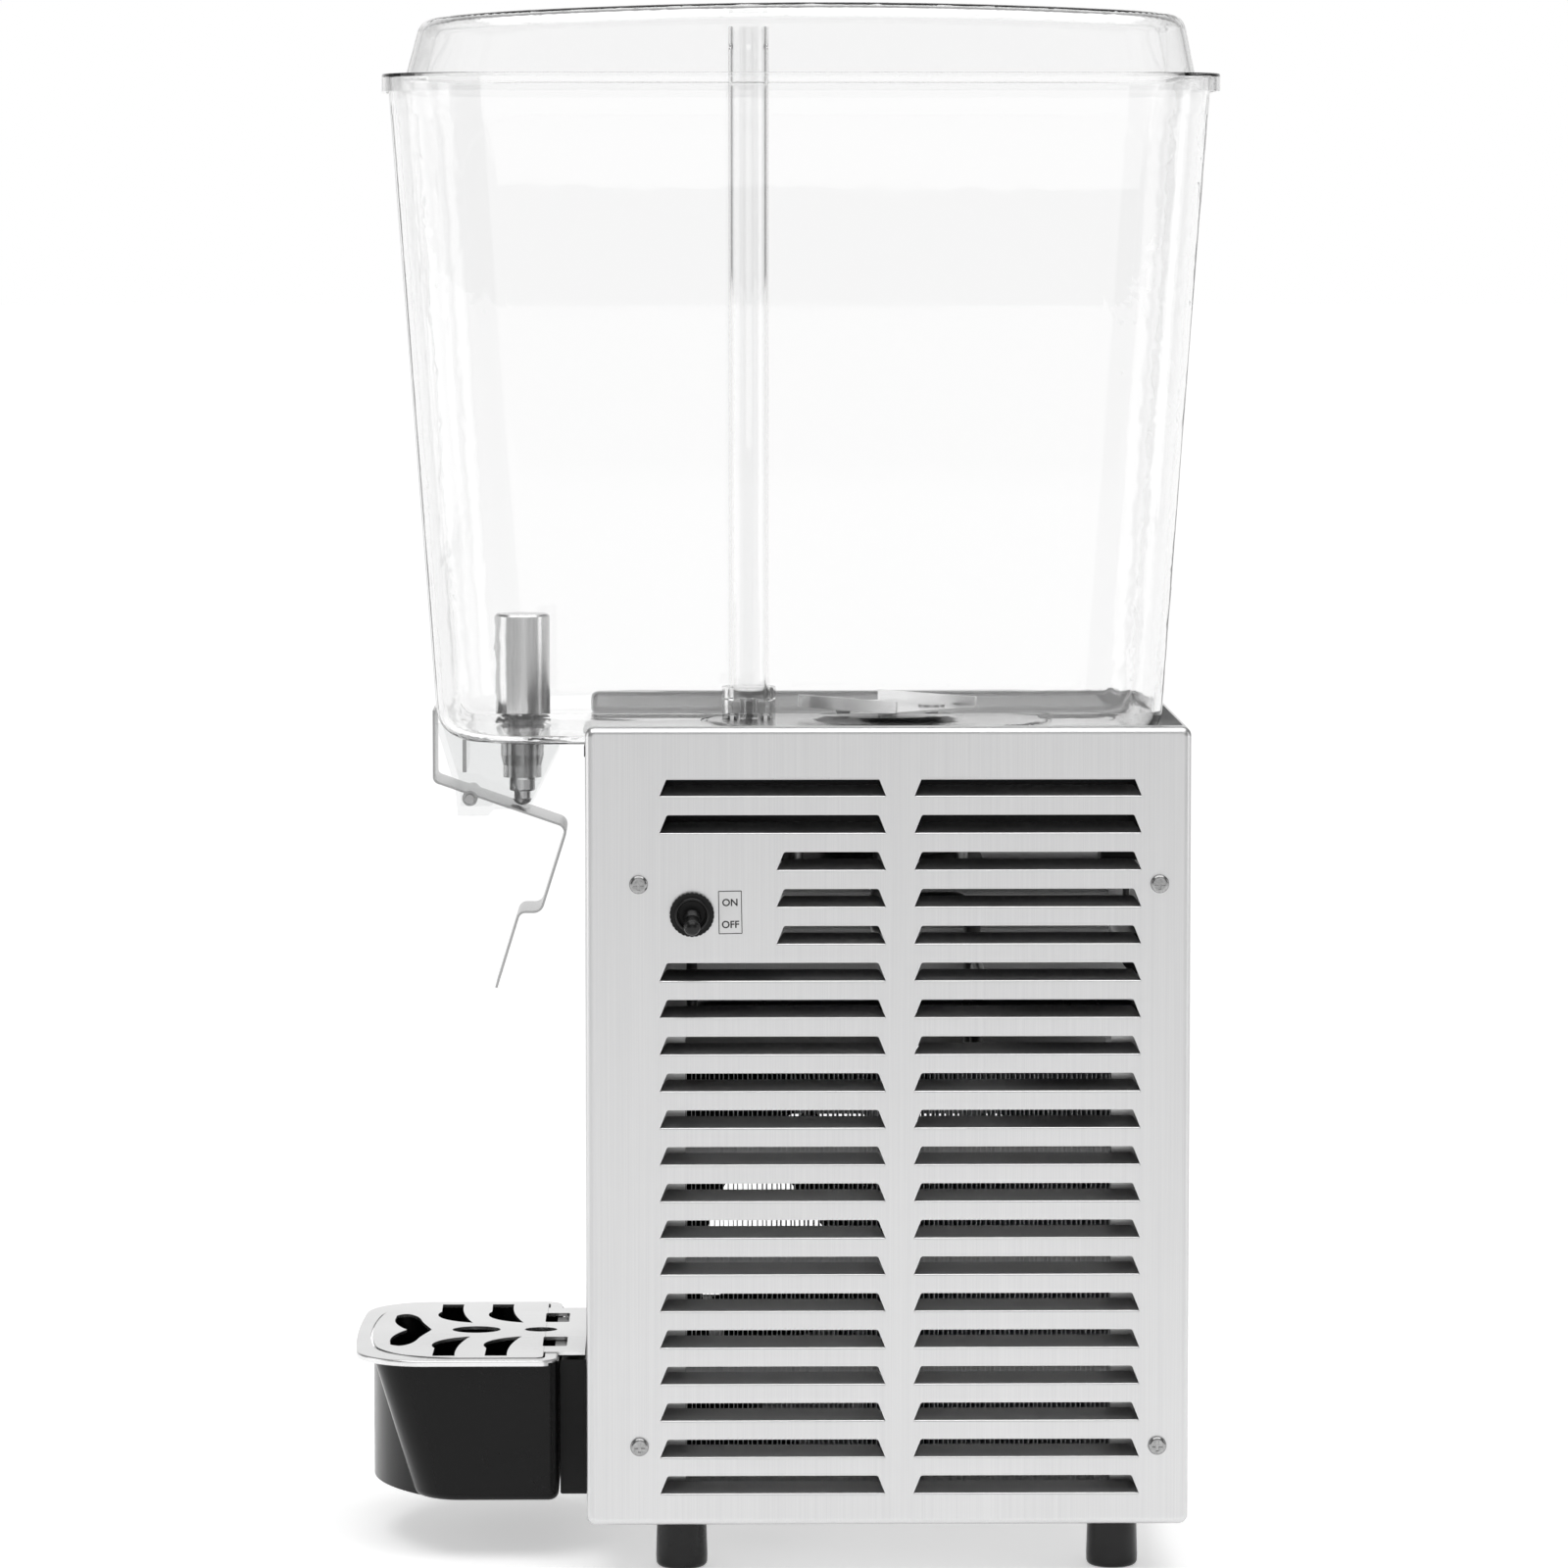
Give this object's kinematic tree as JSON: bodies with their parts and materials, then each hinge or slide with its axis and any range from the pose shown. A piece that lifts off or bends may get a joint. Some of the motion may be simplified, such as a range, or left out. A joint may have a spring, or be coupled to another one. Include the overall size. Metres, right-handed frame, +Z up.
{
  "type": "fountain drink dispenser",
  "caption": "Refrigerated countertop drink dispenser: tall clear bowl with domed lid on a louvred steel cabinet, push-lever tap, spray tube, drip tray and toggle switch.",
  "frame": {"origin": "on the floor at the centre of the four rubber feet", "axes": "+Z up, -Y towards the tap and drip tray, +X towards the side with the switch"},
  "size_m": [0.2507, 0.3866, 0.6938],
  "materials": {
    "panel_steel": "satin",
    "inner_steel": "satin",
    "black_rubber": "satin",
    "screw_steel": "polished",
    "black_plastic": "satin",
    "tray_plastic": "satin",
    "clear_plastic": "polished",
    "clear_housing": "polished",
    "frosted_plastic": "satin",
    "polished_steel": "polished",
    "pipe_black": "satin",
    "fin_aluminium": "satin",
    "compressor_paint": "satin",
    "motor_metal": "satin",
    "foam": "matte",
    "terminal_plastic": "matte",
    "cable_black": "matte",
    "switch_black": "satin",
    "label_white": "satin"
  },
  "bodies": {
    "cabinet": {"side_panel_right": "panel_steel", "side_panel_left": "panel_steel", "front_panel": "panel_steel", "rear_panel": "panel_steel", "deck_plate": "panel_steel", "base_pan": "inner_steel", "motor_plate": "inner_steel", "fan_bracket": "inner_steel", "condenser_plates": "inner_steel", "fan_shroud": "inner_steel", "feet": "black_rubber", "corner_plug": "black_rubber", "compressor_bushes": "black_rubber", "switch_boot": "black_rubber", "bowl_gasket": "black_rubber", "panel_screws": "screw_steel", "foot_screws": "screw_steel", "drive_pins": "screw_steel", "bowl_catch": "black_plastic", "tray_bracket": "black_plastic", "cord_gland": "black_plastic", "terminal_cover": "black_plastic", "switch_body": "black_plastic", "thermostat": "black_plastic", "pump_housing": "clear_housing", "spray_tube": "clear_housing", "evaporator_plate": "polished_steel", "refrigerant_lines": "pipe_black", "evaporator_coil": "pipe_black", "filter_drier": "pipe_black", "condenser_fins": "fin_aluminium", "condenser_tubes": "fin_aluminium", "compressor_shell": "compressor_paint", "fan_motor": "motor_metal", "paddle_motor": "motor_metal", "pump_motor": "motor_metal", "foam_insulation": "foam", "terminal_block": "terminal_plastic", "wiring_loom": "cable_black", "switch_nut": "switch_black", "switch_label": "label_white"},
    "bowl": {"bowl": "clear_plastic", "valve_seat": "frosted_plastic", "spout": "frosted_plastic", "tap_housing": "clear_housing", "lever_pin": "screw_steel"},
    "lid": {"lid": "clear_plastic"},
    "lever": {"lever": "polished_steel"},
    "valve": {"valve_weight": "polished_steel"},
    "tray": {"drip_tray": "tray_plastic", "tray_rim": "polished_steel"},
    "grille": {"drip_grille": "polished_steel"},
    "paddle": {"paddle": "polished_steel", "paddle_magnets": "polished_steel"},
    "paddle_drive": {"paddle_rotor": "motor_metal"},
    "impeller": {"pump_impeller": "frosted_plastic"},
    "pump_drive": {"pump_rotor": "motor_metal"},
    "fan": {"fan_blades": "black_plastic"},
    "toggle": {"switch_toggle": "black_rubber"}
  },
  "joints": [
    {"name": "bowl_lift", "type": "slide", "parent": "cabinet", "child": "bowl", "axis": [0, 0, 1], "range_m": [0, 0.12]},
    {"name": "lid_lift", "type": "slide", "parent": "bowl", "child": "lid", "axis": [0, 0, 1], "range_m": [0, 0.25]},
    {"name": "lever_push", "type": "hinge", "parent": "bowl", "child": "lever", "pos_m": [0, -0.1912, 0.338], "axis": [1, 0, 0], "range_deg": [0, 12]},
    {"name": "valve_lift", "type": "slide", "parent": "bowl", "child": "valve", "axis": [0, 0, 1], "range_m": [0, 0.0052]},
    {"name": "tray_lift", "type": "slide", "parent": "cabinet", "child": "tray", "axis": [0, 0, 1], "range_m": [0, 0.06]},
    {"name": "grille_lift", "type": "slide", "parent": "tray", "child": "grille", "axis": [0, 0, 1], "range_m": [0, 0.1]},
    {"name": "paddle_drive_spin", "type": "hinge", "parent": "cabinet", "child": "paddle_drive", "pos_m": [0, -0.002, 0.36], "axis": [0, 0, 1], "continuous": true},
    {"name": "paddle_spin", "type": "hinge", "parent": "cabinet", "child": "paddle", "pos_m": [0, -0.002, 0.376], "axis": [0, 0, 1], "continuous": true},
    {"name": "pump_drive_spin", "type": "hinge", "parent": "cabinet", "child": "pump_drive", "pos_m": [0, -0.065, 0.36], "axis": [0, 0, 1], "continuous": true},
    {"name": "pump_spin", "type": "hinge", "parent": "cabinet", "child": "impeller", "pos_m": [0, -0.065, 0.376], "axis": [0, 0, 1], "continuous": true},
    {"name": "fan_spin", "type": "hinge", "parent": "cabinet", "child": "fan", "pos_m": [0.049, 0, 0.126], "axis": [1, 0, 0], "continuous": true},
    {"name": "switch_flip", "type": "hinge", "parent": "cabinet", "child": "toggle", "pos_m": [0.117, -0.0912, 0.2949], "axis": [0, -1, 0], "range_deg": [0, 36]}
  ],
  "couplings": [
    {"joint": "valve_lift", "follows": "lever_push", "m_per_rad": 0.0242},
    {"joint": "paddle_spin", "follows": "paddle_drive_spin", "ratio": 1},
    {"joint": "pump_spin", "follows": "pump_drive_spin", "ratio": 1}
  ]
}
